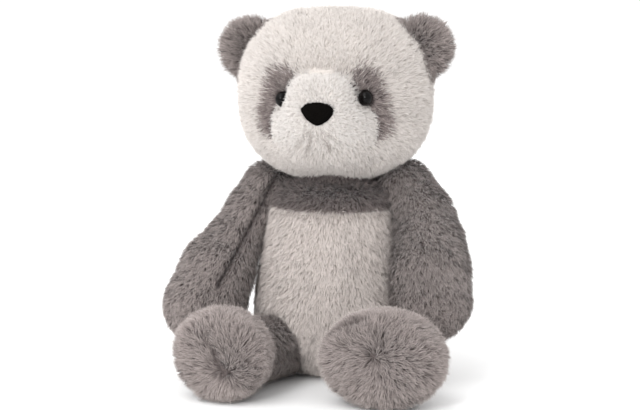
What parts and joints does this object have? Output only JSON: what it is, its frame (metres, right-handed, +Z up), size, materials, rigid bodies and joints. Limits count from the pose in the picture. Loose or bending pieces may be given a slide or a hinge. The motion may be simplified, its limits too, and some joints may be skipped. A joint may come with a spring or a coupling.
{
  "type": "plush panda",
  "caption": "Seated plush panda with a cream head and belly, soft grey ears, eye patches, arms and legs, a black cloth nose and glossy eyes; its head, limbs and ears move.",
  "frame": {"origin": "middle of the flat seat, on the floor", "axes": "+Z up, -Y the way the panda faces, +X towards the panda's own left side"},
  "size_m": [0.238, 0.2072, 0.2835],
  "materials": {
    "cream_fur": "long soft pile",
    "white_pile": "trimmed soft pile",
    "belly_fur": "long soft pile",
    "grey_fur": "long soft pile, dark roots",
    "nose_cloth": "brushed black cloth",
    "eye_gloss": "polished",
    "washer_plastic": "moulded",
    "filling": "loose polyester fibre",
    "pouch_cloth": "closely woven",
    "thread": "sewing thread"
  },
  "bodies": {
    "torso": {"back_closing_stitch": "thread", "back_panel_left": "grey_fur", "back_panel_right": "grey_fur", "belly_panel": "belly_fur", "chest_panel": "grey_fur", "seat_bean_pouch": "pouch_cloth", "seat_panel": "grey_fur", "torso_stuffing": "filling"},
    "neck": {"neck_cover": "grey_fur", "neck_stuffing": "filling"},
    "head": {"cheek_panel_left": "cream_fur", "cheek_panel_right": "cream_fur", "chin_panel": "cream_fur", "eye_left": "eye_gloss", "eye_left_washer": "washer_plastic", "eye_patch_left": "grey_fur", "eye_patch_right": "grey_fur", "eye_right": "eye_gloss", "eye_right_washer": "washer_plastic", "forehead_panel": "cream_fur", "head_back_panel_left": "cream_fur", "head_back_panel_right": "cream_fur", "head_stuffing": "filling", "jowl_panel": "white_pile", "muzzle_panel": "white_pile", "nose": "nose_cloth"},
    "ear_left": {"ear_left_back_panel": "grey_fur", "ear_left_front_panel": "grey_fur"},
    "ear_right": {"ear_right_back_panel": "grey_fur", "ear_right_front_panel": "grey_fur"},
    "arm_left": {"arm_left_inner_panel": "grey_fur", "arm_left_outer_panel": "grey_fur", "arm_left_stuffing": "filling", "paw_left_bean_pouch": "pouch_cloth"},
    "arm_right": {"arm_right_inner_panel": "grey_fur", "arm_right_outer_panel": "grey_fur", "arm_right_stuffing": "filling", "paw_right_bean_pouch": "pouch_cloth"},
    "leg_left": {"foot_left_bean_pouch": "pouch_cloth", "foot_left_side_panel": "grey_fur", "foot_left_sole_panel": "grey_fur", "leg_left_lower_panel": "grey_fur", "leg_left_stuffing": "filling", "leg_left_upper_panel": "grey_fur"},
    "leg_right": {"foot_right_bean_pouch": "pouch_cloth", "foot_right_side_panel": "grey_fur", "foot_right_sole_panel": "grey_fur", "leg_right_lower_panel": "grey_fur", "leg_right_stuffing": "filling", "leg_right_upper_panel": "grey_fur"}
  },
  "joints": [
    {"name": "head_turn", "type": "hinge", "parent": "torso", "child": "neck", "pos_m": [0, 0.002, 0.156], "axis": [0, 0, 1], "range_deg": [-30, 30]},
    {"name": "head_nod", "type": "hinge", "parent": "neck", "child": "head", "pos_m": [0, 0.002, 0.156], "axis": [1, 0, 0], "range_deg": [-10, 12]},
    {"name": "arm_left_swing", "type": "hinge", "parent": "torso", "child": "arm_left", "pos_m": [0.06, 0.002, 0.142], "axis": [-1, 0, 0], "range_deg": [-25, 70]},
    {"name": "arm_right_swing", "type": "hinge", "parent": "torso", "child": "arm_right", "pos_m": [-0.06, 0.002, 0.142], "axis": [-1, 0, 0], "range_deg": [-25, 70]},
    {"name": "leg_left_swing", "type": "hinge", "parent": "torso", "child": "leg_left", "pos_m": [0.037, -0.036, 0.024], "axis": [-1, 0, 0], "range_deg": [-75, 15]},
    {"name": "leg_right_swing", "type": "hinge", "parent": "torso", "child": "leg_right", "pos_m": [-0.037, -0.036, 0.024], "axis": [-1, 0, 0], "range_deg": [-75, 15]},
    {"name": "ear_left_fold", "type": "hinge", "parent": "head", "child": "ear_left", "pos_m": [0.05846, 0, 0.25575], "axis": [-0.5, 0, 0.866], "range_deg": [-15, 15]},
    {"name": "ear_right_fold", "type": "hinge", "parent": "head", "child": "ear_right", "pos_m": [-0.05846, 0, 0.25575], "axis": [-0.5, 0, -0.866], "range_deg": [-15, 15]}
  ]
}
